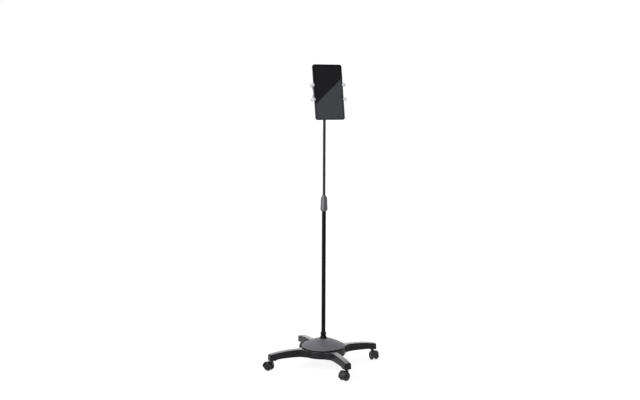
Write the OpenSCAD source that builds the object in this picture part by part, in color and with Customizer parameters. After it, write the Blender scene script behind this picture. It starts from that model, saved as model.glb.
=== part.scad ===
// Adjustable tablet floor stand: a four-legged base on twin-wheel casters, a telescopic
// mast with a twist-lock collar, and a swivelling, tilting head with sprung grips.
// Millimetres, +Z up. The origin is on the floor under the mast; the screen faces -Y.

/* [Casters] */
// Diameter of a caster wheel
wheel_d = 42; // [38:1:50]
// Width of one caster wheel
wheel_w = 11; // [9.5:0.5:14]
// Gap between the two wheels of a caster
wheel_gap = 13; // [12.5:0.5:16]
// Distance from the swivel axis back to the axle
trail = 16; // [14:0.5:20]
// Radius of the swivel stem
stem_rad = 4.5; // [4:0.1:5]
// Radius of the axle
axle_rad = 3; // [2:0.1:3.5]

/* [Base] */
// Distance of each caster stem from the mast axis
stem_r = 261; // [230:1:320]
// Outer radius of the round hub
hub_r = 104; // [92:1:118]
// Height of the hub wall
hub_h = 35; // [31:0.5:40]
// Height of the hub deck above the wheel tops
deck_rise = 46.5; // [42:0.5:52]
// Half the width of a leg
leg_half = 17.5; // [16:0.5:22]
// Radius that blends each leg into the hub
root_r = 50; // [30:1:60]
// Wall thickness of the base moulding
base_wall = 3.5; // [2.5:0.1:4.5]
// Height of the dome cover's rim above the hub deck
rim_rise = 7.5; // [5:0.5:12]
// Radius of curvature of the dome cover
dome_curve = 190.6; // [160:0.2:240]
// Thickness of the dome cover
dome_t = 3; // [2:0.1:4]

/* [Mast] */
// Radius of the outer tube
outer_rad = 9.525; // [8.5:0.005:11]
// Wall of the outer tube
outer_wall = 1.2; // [0.8:0.05:1.6]
// Radius of the inner tube
inner_rad = 6.35; // [5.5:0.05:6.8]
// Wall of the inner tube
inner_wall = 1; // [0.8:0.05:1.4]
// Height of the collar above the hub deck
mast_h = 645.5; // [500:0.5:800]
// Height of the tilt pivot above the bottom of the collar, at rest
extension = 544; // [460:1:640]
// Travel of the inner tube below the rest height
travel_down = 370; // [200:1:400]
// Length of the straight part of the collar
collar_h = 53; // [48:0.5:70]
// Radius of the collar over its corners
collar_rad = 17.6; // [16.5:0.1:19]

/* [Head] */
// Lean of the screen back from upright, at rest
lean = 10; // [5:0.5:20]
// Radius of the tilt bolt
bolt_rad = 3; // [2.5:0.1:3.5]
// Radius of the spindle that the holder turns on
spindle_rad = 6; // [5:0.1:7]
// Radius of the tilt knob
knob_rad = 14; // [11:0.5:18]

/* [Holder] */
// Half the width of the holder housing
house_half = 48; // [46:0.5:56]
// Length of a jaw's tongue past the middle of the housing
tongue_in = 34; // [28:0.5:35]
// Width of a jaw's tongue
tongue_w = 12; // [10:0.5:13]
// Distance between the two grips of one jaw
grip_pitch = 66; // [58:1:90]
// Radius of a grip's cap
cap_rad = 8; // [6:0.5:11]
// Radius of a grip's sleeve
sleeve_rad = 4.3; // [3.6:0.1:5]
// Number of turns in a jaw spring
spring_turns = 16; // [8:1:20]

/* [Tablet] */
// Width of the tablet
tablet_w = 145; // [130:1:180]
// Length of the tablet
tablet_l = 254; // [190:1:280]
// Thickness of the tablet
tablet_t = 9; // [7:0.1:12]
// Corner radius of the tablet
tablet_r = 10; // [6:0.5:16]

/* [Hidden] */
$fn = 96;
// Clearances: running fit, part beside part, and a seat inside one body
run = 0.05;
gap = 0.3;
seat = 0.02;

// Legs and casters, in the order right, back, left, front
leg_angle = [0, 90, 180, 270];
caster_turn = [266, 26, 125, 206];
wheel_r = wheel_d / 2;
deck_z = wheel_d + deck_rise;
hub_z = deck_z - hub_h;
boss_z = wheel_d + 8;
boss_rad = 12;
leg_end = stem_r + 15;
block_x = leg_end - 42;
end_r = 6;
// Top and bottom arches of a leg, as circles that start just outside the hub
root_x = hub_r + 4;
arch_r = 670;
arch_x = root_x + 40;
arch_c = deck_z - sqrt(arch_r * arch_r - pow(arch_x - root_x, 2));
under_r = 970;
under_x = root_x + 75;
under_c = hub_z - sqrt(under_r * under_r - pow(under_x - root_x, 2));
socket_h = 22;
socket_rad = stem_rad + 2;
fender_in = wheel_r + 1;
fender_out = fender_in + 1.6;
cheek = wheel_gap / 2 - 0.5;
axle_half = wheel_gap / 2 + wheel_w - 2;

// Dome, mast socket and its bolt
dome_r = hub_r - 1;
rim_z = deck_z + rim_rise;
skirt_r = dome_r - 20;
dome_c = rim_z + 3 - sqrt(dome_curve * dome_curve - dome_r * dome_r);
flange_rad = outer_rad + 7;
seat_z = dome_c + sqrt(dome_curve * dome_curve - flange_rad * flange_rad);
post_rad = outer_rad + 2.5;
post_z = hub_z + 9;
hub_boss_z = rim_z + 15.5;
tube_z = rim_z - 4;
socket_top = seat_z + 31.5;

// Twist lock
collar_z = deck_z + mast_h;
chamfer_h = 8.5;
cone_h = 14.5;
cone_z = collar_z + chamfer_h + collar_h;
ferrule_rad = outer_rad + 2.9;
ferrule_z = collar_z + 10;
ferrule_top = cone_z - 10.5;
tube_top = ferrule_top - 3;
collet_h = 17;
collet_low = ferrule_rad - 1.4;
collet_top = inner_rad + 1.65;

// Inner tube and head
slide_rad = outer_rad - outer_wall - 0.1;
inner_z = tube_z + travel_down + 6;
pivot_z = collar_z + extension;
inner_top = pivot_z - 30;
spigot_rad = 4;
fork_z = inner_top + 3;
fork_floor = pivot_z - 14;
fork_rad = 12;
ear_in = 8;
ear_out = 13;
ear_rad = 11;
lug_half = 7;
lug_rad = 9.5;
knob_x = ear_out + gap;
knob_l = 17;

// Holder, measured from the tilt pivot along the screen's normal
house_z = 17.3;
tongue_t = 4;
groove_z = 20;
tongue_z = 28.8;
cover_z = 33;
cover_t = 3.5;
pad_t = 3.2;
back_z = cover_z + cover_t + pad_t + gap;
front_z = back_z + tablet_t;
tongue_u = spindle_rad + 10.5;
house_u = tongue_u + tongue_w / 2 + 4.5;
house_r = 8;
groove_half = 4.2;
stop_t = 4.7;
groove_end = house_half - 8;
washer_rad = spindle_rad + 2.2;
grip_x = tablet_w / 2 + gap + sleeve_rad;
grip_u = grip_pitch / 2;
bow = 10.6;
bow_r = (bow * bow + grip_u * grip_u) / (2 * bow);
bow_w = 9;
stud_rad = 2.5;
cap_t = 4.6;
cap_z = front_z + 1;
cap_curve = (cap_rad * cap_rad + pow(cap_t - 1.6, 2)) / (2 * (cap_t - 1.6));
wire = 0.5;
coil = 3;

module in_leg(i) rotate([0, 0, leg_angle[i]]) children();
module at_caster(i) in_leg(i) translate([stem_r, 0, 0])
  rotate([0, 0, caster_turn[i] - leg_angle[i]]) children();
module at_face() translate([0, 0, pivot_z]) rotate([90 - lean, 0, 0]) children();
module along_x(x0, x1, r, sides = 96) translate([x0, 0, 0]) rotate([0, 90, 0])
  cylinder(h = x1 - x0, r = r, $fn = sides);
module tube(z0, z1, ro, ri) translate([0, 0, z0]) difference() {
  cylinder(h = z1 - z0, r = ro);
  translate([0, 0, -1]) cylinder(h = z1 - z0 + 2, r = ri);
}
module round_rect(hx, hy, r) {
  square([2 * hx, 2 * (hy - r)], center = true);
  square([2 * (hx - r), 2 * hy], center = true);
  for (sx = [-1, 1]) for (sy = [-1, 1]) translate([sx * (hx - r), sy * (hy - r)]) circle(r);
}

// Seen from above: one leg and the two curves that blend it into the hub
module leg_plan(in) {
  w = leg_half - in;
  f = root_r + in;
  h = hub_r - in - 1.5;
  fy = w + f;
  fx = sqrt(pow(h + f, 2) - fy * fy);
  e = leg_end - in;
  c = end_r - in / 2;
  translate([0, -w]) square([e - c, 2 * w]);
  translate([0, c - w]) square([e, 2 * (w - c)]);
  for (s = [-1, 1]) {
    translate([e - c, s * (w - c)]) circle(c);
    difference() {
      polygon([[0, 0], [fx, 0], [fx, s * fy], [h * fx / (h + f), s * h * fy / (h + f)]]);
      translate([fx, s * fy]) circle(f);
    }
  }
}
function arch_top(x) = arch_c + sqrt(arch_r * arch_r - pow(x - arch_x, 2));
function under_arch(x) = under_c + sqrt(under_r * under_r - pow(x - under_x, 2));
// Seen from the side: the arched top, the arched underside and the deeper block at the end
module leg_side(in) {
  base = in > 0 ? boss_z - 20 : hub_z;
  top_r = sqrt(pow(arch_x - root_x, 2) + pow(deck_z - in - arch_c, 2));
  translate([0, base]) square([root_x, deck_z - in - base]);
  difference() {
    intersection() {
      translate([arch_x, arch_c]) circle(top_r);
      translate([root_x, boss_z - 20]) square([leg_end + 5 - root_x, 80]);
    }
    if (in == 0) difference() {
      translate([under_x, under_c]) circle(under_r);
      polygon([[block_x, hub_z + 9], [block_x, under_arch(block_x) + 0.5], [block_x + 14, boss_z],
        [leg_end + 9, boss_z], [leg_end + 9, hub_z + 9]]);
    }
  }
}
module leg_form(in) intersection() {
  translate([0, 0, boss_z - 20]) linear_extrude(deck_z - boss_z + 40) leg_plan(in);
  rotate([90, 0, 0]) linear_extrude(2 * (hub_r + 10), center = true) leg_side(in);
}

// One moulding: hub and four hollow legs, ribbed below, with a boss for each caster
module base_star() color("#5a5a5e") difference() {
  union() {
    difference() {
      union() {
        translate([0, 0, hub_z]) cylinder(h = hub_h, r = hub_r);
        for (i = [0:3]) in_leg(i) leg_form(0);
      }
      translate([0, 0, hub_z - 1]) cylinder(h = hub_h + 1 - base_wall, r = hub_r - base_wall);
      for (i = [0:3]) in_leg(i) leg_form(base_wall);
    }
    for (i = [0:3]) in_leg(i) {
      intersection() {
        translate([stem_r, 0, boss_z + 3]) cylinder(h = 40, r = boss_rad);
        leg_form(1.5);
      }
      translate([stem_r, 0, boss_z]) cylinder(h = 3, r1 = boss_rad - 2, r2 = boss_rad);
      for (x = [hub_r + 36, hub_r + 78, hub_r + 120])
        translate([x, 1.5 - leg_half, hub_z + 11])
          cube([2.5, 2 * leg_half - 3, arch_top(x) - 1.5 - hub_z - 11]);
      rotate([0, 0, 45]) translate([post_rad + 4, -1.5, hub_z + 4])
        cube([hub_r - post_rad - 6, 3, hub_h - 5]);
    }
    translate([0, 0, hub_z]) cylinder(h = hub_boss_z - hub_z, r = post_rad + 8);
  }
  translate([0, 0, hub_z - 1]) cylinder(h = hub_boss_z - hub_z + 2, r = post_rad + run);
  for (i = [0:3]) in_leg(i)
    translate([stem_r, 0, boss_z - 1]) cylinder(h = socket_h + 1, r = socket_rad + seat);
}

// Steel sleeves pressed into the leg ends
module caster_sockets() color("#9a9a9c") for (i = [0:3]) in_leg(i)
  translate([stem_r, 0, 0]) tube(boss_z, boss_z + socket_h, socket_rad, stem_rad + run);

// Swivel pins, each with a shoulder over its caster
module caster_stems() color("#303032") for (i = [0:3]) in_leg(i) translate([stem_r, 0, 0]) {
  translate([0, 0, wheel_d - 10]) cylinder(h = socket_h + 16, r = stem_rad);
  translate([0, 0, wheel_d + gap]) cylinder(h = 1.6, r = stem_rad + 3);
}

// Caster body: web between the wheels, swivel boss and the fender over the treads
module hood(i) color("#2b2b2d") at_caster(i) difference() {
  union() {
    rotate([90, 0, 0]) linear_extrude(2 * cheek, center = true) {
      translate([trail, wheel_r]) {
        circle(9);
        intersection() {
          circle(fender_out);
          polygon([[0, 0], [60, -16], [60, 60], [-16, 60]]);
        }
      }
      translate([-cheek, wheel_r + 4]) square([cheek + trail, wheel_r - 4]);
    }
    translate([trail, 0, wheel_r]) rotate([90, 0, 0])
      linear_extrude(wheel_gap + 2 * wheel_w, center = true) intersection() {
        difference() {
          circle(fender_out);
          circle(fender_in);
        }
        polygon([[0, 0], [60, -16], [60, 60], [-16, 60]]);
      }
  }
  translate([0, 0, wheel_d - 12]) cylinder(h = 40, r = stem_rad + run);
  translate([trail, 0, wheel_r]) rotate([90, 0, 0])
    cylinder(h = 80, r = axle_rad + seat, center = true);
}
module axle(i) color("#a8a8aa") at_caster(i) translate([trail, 0, wheel_r]) rotate([90, 0, 0])
  cylinder(h = 2 * axle_half, r = axle_rad, center = true);
// A wheel with a rounded tread, a dished face, a hollow inner side and a blind axle hole
module wheel_form() rotate_extrude() difference() {
  union() {
    square([wheel_r - 4, wheel_w]);
    square([wheel_r - 2, wheel_w - 4]);
    translate([0, 2]) square([wheel_r, wheel_w - 6]);
    translate([wheel_r - 4, wheel_w - 4]) circle(4);
    translate([wheel_r - 2, 2]) circle(2);
  }
  square([axle_rad + run, wheel_w - 1.5]);
  translate([axle_rad + 4, -1]) square([wheel_r - axle_rad - 9, wheel_w - 4]);
  translate([axle_rad + 4.5, wheel_w - 1]) square([wheel_r - axle_rad - 10.5, 3]);
}
module wheel(i, s) color("#333335") at_caster(i) translate([trail, s * wheel_gap / 2, wheel_r])
  rotate([-90 * s, 0, 0]) wheel_form();

// Domed cover over the hub, standing off the deck on a hidden skirt
module dome_cover() color("#78777d") rotate_extrude() difference() {
  union() {
    difference() {
      intersection() {
        translate([0, dome_c]) circle(dome_curve);
        translate([0, rim_z]) square([dome_r, seat_z - rim_z]);
      }
      intersection() {
        translate([0, dome_c]) circle(dome_curve - dome_t);
        square([dome_r - dome_t, seat_z]);
      }
    }
    intersection() {
      translate([skirt_r - dome_t, deck_z]) square([dome_t, seat_z - deck_z]);
      translate([0, dome_c]) circle(dome_curve - dome_t / 2);
    }
  }
  square([post_rad + 1, seat_z + 1]);
}

// Turned foot of the mast: flange on the dome, waist and shoulder, post down into the hub
module mast_socket() color("#1d1d1f") difference() {
  rotate_extrude() difference() {
    union() {
      translate([0, post_z]) square([post_rad, seat_z + 1 - post_z]);
      translate([0, seat_z]) square([flange_rad, 6]);
      translate([0, seat_z + 6]) square([flange_rad - 4.2, 22]);
      translate([0, seat_z + 23]) square([outer_rad + 4, 4.5]);
      translate([outer_rad, seat_z + 27.5]) circle(4);
      polygon([[0, seat_z + 6], [flange_rad, seat_z + 6], [flange_rad - 4.2, seat_z + 12],
        [flange_rad - 4.2, seat_z + 18], [outer_rad + 4, seat_z + 23], [0, seat_z + 23]]);
    }
    translate([0, tube_z]) square([outer_rad + seat, 200]);
    square([4 + seat, post_z + 20]);
  }
}
// Bolt and washer that draw the mast foot down into the hub
module mast_bolt() color("#b4b4b6") {
  translate([0, 0, hub_z - 3]) cylinder(h = post_z + 18 - hub_z + 3, r = 4);
  translate([0, 0, hub_z - 7.5]) cylinder(h = 5.5, r = 7.4, $fn = 6);
}
module mast_washer() color("#c0c0c2") tube(hub_z - 2, hub_z, post_rad + 4, 4.2);

module outer_tube() color("#242426") tube(tube_z, tube_top, outer_rad, outer_rad - outer_wall);

// Threaded ferrule on the tube's end, with a lip that guides the inner tube
module collar_ferrule() color("#454548") difference() {
  translate([0, 0, ferrule_z]) cylinder(h = ferrule_top - ferrule_z, r = ferrule_rad);
  translate([0, 0, ferrule_z - 1]) cylinder(h = tube_top - ferrule_z + 1, r = outer_rad + seat);
  translate([0, 0, ferrule_z]) cylinder(h = 100, r = inner_rad + 0.1);
}
// Split cone that the collar squeezes onto the inner tube
module collet() color("#d8d6d0") translate([0, 0, ferrule_top]) difference() {
  cylinder(h = collet_h, r1 = collet_low, r2 = collet_top);
  translate([0, 0, -1]) cylinder(h = collet_h + 2, r = inner_rad + run);
  for (a = [0, 90]) rotate([0, 0, a]) translate([-20, -0.6, 3.5]) cube([40, 1.2, collet_h]);
}
// Ten-sided twist-lock collar
module lock_collar() color("#6a6b6f") difference() {
  rotate([0, 0, -6]) {
    translate([0, 0, collar_z])
      cylinder(h = chamfer_h, r1 = outer_rad + 2.2, r2 = collar_rad, $fn = 10);
    translate([0, 0, collar_z + chamfer_h]) cylinder(h = collar_h, r = collar_rad, $fn = 10);
    translate([0, 0, cone_z])
      cylinder(h = cone_h, r1 = collar_rad, r2 = inner_rad + 2, $fn = 10);
  }
  translate([0, 0, collar_z - 1]) cylinder(h = 40, r = outer_rad + gap);
  translate([0, 0, ferrule_z - 0.5])
    cylinder(h = ferrule_top + gap - ferrule_z + 0.5, r = ferrule_rad + run);
  translate([0, 0, ferrule_top + gap - 0.01])
    cylinder(h = collet_h + 0.5, r1 = collet_low + 0.4, r2 = collet_top + 0.4);
  translate([0, 0, ferrule_top]) cylinder(h = 100, r = inner_rad + 0.35);
}

module inner_tube() color("#2c2c2e") tube(inner_z, inner_top, inner_rad, inner_rad - inner_wall);
// Glide on the bottom of the inner tube
module glide_bush() color("#e6e4dc") difference() {
  translate([0, 0, inner_z - 3]) cylinder(h = 26, r = slide_rad);
  translate([0, 0, inner_z]) cylinder(h = 40, r = inner_rad + seat);
  translate([0, 0, inner_z - 4]) cylinder(h = 10, r = inner_rad - inner_wall - 1);
}
// Plug in the top of the inner tube, with the spigot that the fork turns on
module tube_plug() color("#38383a") difference() {
  union() {
    translate([0, 0, inner_top - 20]) cylinder(h = 21, r = inner_rad - inner_wall - seat);
    translate([0, 0, inner_top]) cylinder(h = 3, r = inner_rad + 2.8);
    translate([0, 0, inner_top]) cylinder(h = fork_floor - inner_top, r = spigot_rad);
  }
  translate([0, 0, fork_floor - 10]) cylinder(h = 20, r = 2 + seat);
}
module swivel_screw() color("#b8b8ba") {
  translate([0, 0, fork_floor - 9]) cylinder(h = 9.5, r = 2);
  translate([0, 0, fork_floor + 0.1]) cylinder(h = 2.6, r = spigot_rad + 1.6);
}
// Fork that swivels on the mast and carries the tilt bolt
module swivel_fork() color("#2f2f31") difference() {
  union() {
    translate([0, 0, fork_z]) cylinder(h = fork_floor - fork_z, r = fork_rad);
    for (s = [-1, 1]) {
      translate([0, 0, pivot_z]) along_x(s > 0 ? ear_in : -ear_out, s > 0 ? ear_out : -ear_in, ear_rad);
      translate([s > 0 ? ear_in : -ear_out, -ear_rad, fork_z])
        cube([ear_out - ear_in, 2 * ear_rad, pivot_z - fork_z]);
    }
  }
  translate([0, 0, pivot_z]) along_x(-40, 40, bolt_rad + run);
  translate([0, 0, fork_z - 1]) cylinder(h = 40, r = spigot_rad + run);
}
module tilt_bolt() color("#b8b8ba") translate([0, 0, pivot_z]) {
  along_x(-ear_out - 1, knob_x + knob_l - 5, bolt_rad);
  along_x(-ear_out - 4.5, -ear_out, bolt_rad * 1.85, 6);
}
// Friction washers between the fork and the lug
module tilt_washers() color("#e0ddd4") translate([0, 0, pivot_z]) for (s = [-1, 1]) difference() {
  along_x(s > 0 ? lug_half + 0.05 : -ear_in, s > 0 ? ear_in : -lug_half - 0.05, lug_rad - 1);
  along_x(-40, 40, bolt_rad + 0.1);
}
// Scalloped knob that clamps the tilt
module tilt_knob() color("#222224") translate([0, 0, pivot_z]) difference() {
  union() {
    along_x(knob_x, knob_x + 6, knob_rad * 0.62);
    along_x(knob_x + 5, knob_x + knob_l, knob_rad);
  }
  for (a = [0:45:315]) rotate([a, 0, 0]) translate([0, knob_rad + 1.2, 0]) along_x(knob_x + 4, knob_x + 30, 3.4);
  along_x(knob_x - 1, knob_x + knob_l - 4, bolt_rad + run);
}
// Lug on the tilt bolt, with the flange and spindle of the holder
module tilt_lug() color("#39393b") at_face() difference() {
  union() {
    along_x(-lug_half, lug_half, lug_rad);
    translate([-lug_half, -8, 0]) cube([2 * lug_half, 16, 14]);
    translate([0, 0, 13.8]) cylinder(h = house_z - 13.85, r = spindle_rad + 6);
    translate([0, 0, 14]) cylinder(h = 16, r = spindle_rad);
  }
  along_x(-40, 40, bolt_rad + run);
  translate([0, 0, 18]) cylinder(h = 20, r = 2 + seat);
}
module spindle_screw() color("#b8b8ba") at_face() {
  translate([0, 0, 19]) cylinder(h = 12, r = 2);
  translate([0, 0, 30.1]) cylinder(h = 1.2, r = washer_rad);
  translate([0, 0, 31]) cylinder(h = 1.8, r = 3.6);
}

// Housing of the holder: a tray with a channel and a spring groove for each jaw
module holder_tray() color("#262628") at_face() difference() {
  translate([0, 0, house_z]) linear_extrude(cover_z - house_z) round_rect(house_half, house_u, house_r);
  for (s = [-1, 1]) scale([s, s, 1]) {
    translate([-tongue_in - 3, -tongue_u - tongue_w / 2 - gap, tongue_z - 0.2])
      cube([tongue_in + house_half + 10, tongue_w + 2 * gap, 20]);
    translate([-tongue_in - 3, -tongue_u - groove_half, groove_z])
      cube([tongue_in + 3 + groove_end, 2 * groove_half, 20]);
  }
  translate([0, 0, house_z - 1]) cylinder(h = 30, r = spindle_rad + run);
  translate([0, 0, 30]) cylinder(h = 10, r = washer_rad + gap);
  for (x = [-30, 30]) for (y = [-5, 5]) translate([x, y, groove_z + 2]) cylinder(h = 40, r = 1.5 + seat);
}
module holder_cover() color("#2a2a2c") at_face() difference() {
  translate([0, 0, cover_z]) linear_extrude(cover_t) round_rect(house_half, house_u, house_r);
  for (x = [-30, 30]) for (y = [-5, 5]) translate([x, y, cover_z - 1]) {
    cylinder(h = 20, r = 1.6);
    translate([0, 0, 2.6]) cylinder(h = 20, r = 3.2);
  }
}
module holder_screws() color("#b8b8ba") at_face() for (x = [-30, 30]) for (y = [-5, 5])
  translate([x, y, 0]) {
    translate([0, 0, groove_z + 3]) cylinder(h = cover_z + 2 - groove_z - 3, r = 1.5);
    translate([0, 0, cover_z + 1.6]) cylinder(h = 1.6, r = 3);
  }
// Rubber pads behind the tablet
module holder_pads() color("#3c3c3e") at_face() for (s = [-1, 1])
  translate([0, s * (house_u - 10), cover_z + cover_t]) linear_extrude(pad_t)
    round_rect(house_half - 8, 6, 5);

// A jaw: bowed bracket, tongue in the housing and the stop that the spring pushes on
module jaw_form() difference() {
  union() {
    translate([0, 0, tongue_z]) linear_extrude(tongue_t) {
      difference() {
        intersection() {
          translate([grip_x - bow + bow_r, 0]) circle(bow_r + bow_w / 2);
          translate([grip_x - bow - 20, -grip_u]) square([20 + bow + 3, 2 * grip_u]);
        }
        translate([grip_x - bow + bow_r, 0]) circle(bow_r - bow_w / 2);
      }
      for (s = [-1, 1]) translate([grip_x, s * grip_u]) circle(7.5);
      translate([-tongue_in, -tongue_u - tongue_w / 2]) square([tongue_in + grip_x - bow + 3, tongue_w]);
    }
    translate([-tongue_in, -tongue_u - groove_half + 0.6, groove_z + 0.6])
      cube([stop_t, 2 * groove_half - 1.2, tongue_z - groove_z]);
  }
  for (s = [-1, 1]) translate([grip_x, s * grip_u, 0]) cylinder(h = 60, r = stud_rad + seat);
}
module jaw_right() color("#c9c9cc") at_face() jaw_form();
module jaw_left() color("#c9c9cc") at_face() rotate([0, 0, 180]) jaw_form();

// A grip: turned post with a domed cap that laps the edge of the screen
module grip_form() translate([grip_x, 0, 0]) for (s = [-1, 1]) translate([0, s * grip_u, 0])
  rotate_extrude() {
    translate([0, tongue_z]) square([stud_rad, cap_z + 1 - tongue_z]);
    translate([0, cap_z]) square([cap_rad, 1.6]);
    intersection() {
      translate([0, cap_z + cap_t - cap_curve]) circle(cap_curve);
      translate([0, cap_z + 1.6]) square([cap_rad, cap_t]);
    }
  }
module grip_posts_right() color("#d6d6d9") at_face() grip_form();
module grip_posts_left() color("#d6d6d9") at_face() rotate([0, 0, 180]) grip_form();
module sleeve_form() for (s = [-1, 1]) translate([grip_x, s * grip_u, 0])
  tube(tongue_z + tongue_t, cap_z, sleeve_rad, stud_rad + seat);
module grip_sleeves_right() color("#b9b9bc") at_face() sleeve_form();
module grip_sleeves_left() color("#b9b9bc") at_face() rotate([0, 0, 180]) sleeve_form();

// Compression spring behind a jaw's tongue: a round wire wound along X
function turn_at(k, m) = 360 * spring_turns * k / m;
module spring_form() {
  m = spring_turns * 12;
  n = 6;
  x0 = stop_t - tongue_in + gap + wire;
  x1 = groove_end - gap - wire;
  lead = atan((x1 - x0) / (2 * PI * coil * spring_turns));
  pts = [for (k = [0:m]) for (j = [0:n - 1])
    let (a = turn_at(k, m), b = 360 * j / n, rad = coil + wire * cos(b), off = wire * sin(b))
      [x0 + (x1 - x0) * k / m + off * cos(lead),
       rad * cos(a) + off * sin(lead) * sin(a),
       rad * sin(a) - off * sin(lead) * cos(a)]];
  sides = [for (k = [0:m - 1]) for (j = [0:n - 1])
    let (a = k * n + j, b = k * n + (j + 1) % n) each [[a, a + n, b + n], [a, b + n, b]]];
  ends = [[for (j = [0:n - 1]) j], [for (j = [n - 1:-1:0]) m * n + j]];
  translate([0, -tongue_u, (groove_z + tongue_z) / 2]) polyhedron(points = pts, faces = concat(sides, ends));
}
module spring_right() color("#8e8e92") at_face() spring_form();
module spring_left() color("#8e8e92") at_face() rotate([0, 0, 180]) spring_form();

module tablet_shell() color("#1b1b1d") at_face() difference() {
  translate([0, 0, back_z]) linear_extrude(tablet_t) round_rect(tablet_w / 2, tablet_l / 2, tablet_r);
  translate([0, 0, front_z - 1]) linear_extrude(5)
    round_rect(tablet_w / 2 - 1.6, tablet_l / 2 - 1.6, tablet_r - 1.6);
}
module tablet_glass() color("#2a2a30") at_face() translate([0, 0, front_z - 1]) linear_extrude(1)
  round_rect(tablet_w / 2 - 1.65, tablet_l / 2 - 1.65, tablet_r - 1.65);

base_star();
caster_sockets();
caster_stems();
dome_cover();
mast_socket();
mast_bolt();
mast_washer();
outer_tube();
collar_ferrule();
collet();
lock_collar();
inner_tube();
glide_bush();
tube_plug();
swivel_screw();
swivel_fork();
tilt_bolt();
tilt_washers();
tilt_knob();
tilt_lug();
spindle_screw();
holder_tray();
holder_cover();
holder_screws();
holder_pads();
jaw_left();
jaw_right();
grip_posts_left();
grip_posts_right();
grip_sleeves_left();
grip_sleeves_right();
spring_left();
spring_right();
tablet_shell();
tablet_glass();
hood(0);  // hood_right
axle(0);  // axle_right
wheel(0, 1);  // wheel_right_a
wheel(0, -1);  // wheel_right_b
hood(1);  // hood_back
axle(1);  // axle_back
wheel(1, 1);  // wheel_back_a
wheel(1, -1);  // wheel_back_b
hood(2);  // hood_left
axle(2);  // axle_left
wheel(2, 1);  // wheel_left_a
wheel(2, -1);  // wheel_left_b
hood(3);  // hood_front
axle(3);  // axle_front
wheel(3, 1);  // wheel_front_a
wheel(3, -1);  // wheel_front_b
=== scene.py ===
import math

import bmesh
import bpy
from mathutils import Matrix, Vector


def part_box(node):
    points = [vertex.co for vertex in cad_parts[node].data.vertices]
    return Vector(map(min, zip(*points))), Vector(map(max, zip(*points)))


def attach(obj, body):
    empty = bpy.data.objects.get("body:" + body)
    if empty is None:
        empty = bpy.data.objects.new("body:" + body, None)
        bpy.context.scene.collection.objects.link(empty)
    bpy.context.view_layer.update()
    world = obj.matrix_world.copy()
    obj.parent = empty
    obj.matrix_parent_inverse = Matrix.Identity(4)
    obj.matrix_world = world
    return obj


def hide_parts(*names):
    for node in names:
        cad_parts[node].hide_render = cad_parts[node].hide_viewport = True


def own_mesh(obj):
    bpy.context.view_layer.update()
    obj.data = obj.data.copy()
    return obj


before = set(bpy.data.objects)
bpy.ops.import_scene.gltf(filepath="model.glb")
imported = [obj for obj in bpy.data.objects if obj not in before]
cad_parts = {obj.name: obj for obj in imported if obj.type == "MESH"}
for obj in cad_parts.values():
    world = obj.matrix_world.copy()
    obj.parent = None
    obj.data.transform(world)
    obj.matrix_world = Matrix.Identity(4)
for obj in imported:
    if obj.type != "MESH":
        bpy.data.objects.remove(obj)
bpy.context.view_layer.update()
scene = bpy.context.scene
scene.view_settings.view_transform = "Standard"


# Camera
# The photograph's viewpoint: a short telephoto lens at about the height of the tablet, in front
# and to the left. The lens is in millimetres, distances are in metres and angles in degrees.
LENS, SENSOR, FAR_CLIP = 54.25, 36.0, 200.0
STAND_OFF, EYE_HEIGHT = 4.46, 1.3065
AZIMUTH, LOOK_LEFT, LOOK_DOWN, ROLL = -24.0, 0.24, 6.65, 0.25

camera = bpy.data.objects.new("camera", bpy.data.cameras.new("camera"))
camera.data.sensor_width = SENSOR
camera.data.lens = LENS
camera.data.clip_end = FAR_CLIP
side = math.radians(AZIMUTH)
camera.matrix_world = (
    Matrix.Translation((STAND_OFF * math.sin(side), -STAND_OFF * math.cos(side), EYE_HEIGHT))
    @ Matrix.Rotation(math.radians(AZIMUTH + LOOK_LEFT), 4, "Z")
    @ Matrix.Rotation(math.radians(90 - LOOK_DOWN), 4, "X")
    @ Matrix.Rotation(math.radians(ROLL), 4, "Z"))
scene.collection.objects.link(camera)
scene.camera = camera


# Studio
# A white sweep: a wide matt floor under a white surround, a broad soft light from the upper
# left, a tall soft panel beside it and a light from behind. Not part of the stand.
FLOOR_REACH = 40.0
FLOOR_WHITE, FLOOR_GLOW = "#ffffff", 0.87
FLOOR_SHADE = "#767676"
SURROUND_LIGHT = 0.34
KEY_TURN, KEY_HEIGHT, KEY_SPREAD, KEY_POWER = -80.0, 42.0, 46.0, 2.05
BACK_TURN, BACK_HEIGHT, BACK_SPREAD, BACK_POWER = 150.0, 28.0, 50.0, 1.5
PANEL_TURN, PANEL_AWAY, PANEL_WIDE, PANEL_TALL, PANEL_POWER = -64.0, 3.0, 0.9, 2.1, 34.0
PANEL_LIFT = 0.05


def linear(hex_colour):
    """An sRGB hex colour as linear RGBA."""
    parts = [int(hex_colour[i:i + 2], 16) / 255 for i in (1, 3, 5)]
    return [c / 12.92 if c <= 0.04045 else ((c + 0.055) / 1.055) ** 2.4 for c in parts] + [1.0]


def add(tree, kind, settings=None, inputs=None):
    """Adds a node. An input takes a constant, or the output socket that feeds it."""
    node = tree.nodes.new(kind)
    for key, value in (settings or {}).items():
        setattr(node, key, value)
    for key, value in (inputs or {}).items():
        if isinstance(value, bpy.types.NodeSocket):
            tree.links.new(value, node.inputs[key])
        else:
            node.inputs[key].default_value = value
    return node


def new_material(name):
    """A material with an empty node tree, and the tree."""
    material = bpy.data.materials.new(name)
    material.use_nodes = True
    material.node_tree.nodes.clear()
    return material, material.node_tree


def seen_directly(tree):
    """1 for rays that show the background: from the camera, a reflection or through glass."""
    path = add(tree, "ShaderNodeLightPath")
    some = add(tree, "ShaderNodeMath", {"operation": "MAXIMUM"},
               {0: path.outputs["Is Camera Ray"], 1: path.outputs["Is Glossy Ray"]})
    return add(tree, "ShaderNodeMath", {"operation": "MAXIMUM"},
               {0: some.outputs[0], 1: path.outputs["Is Transmission Ray"]}).outputs[0]


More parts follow.
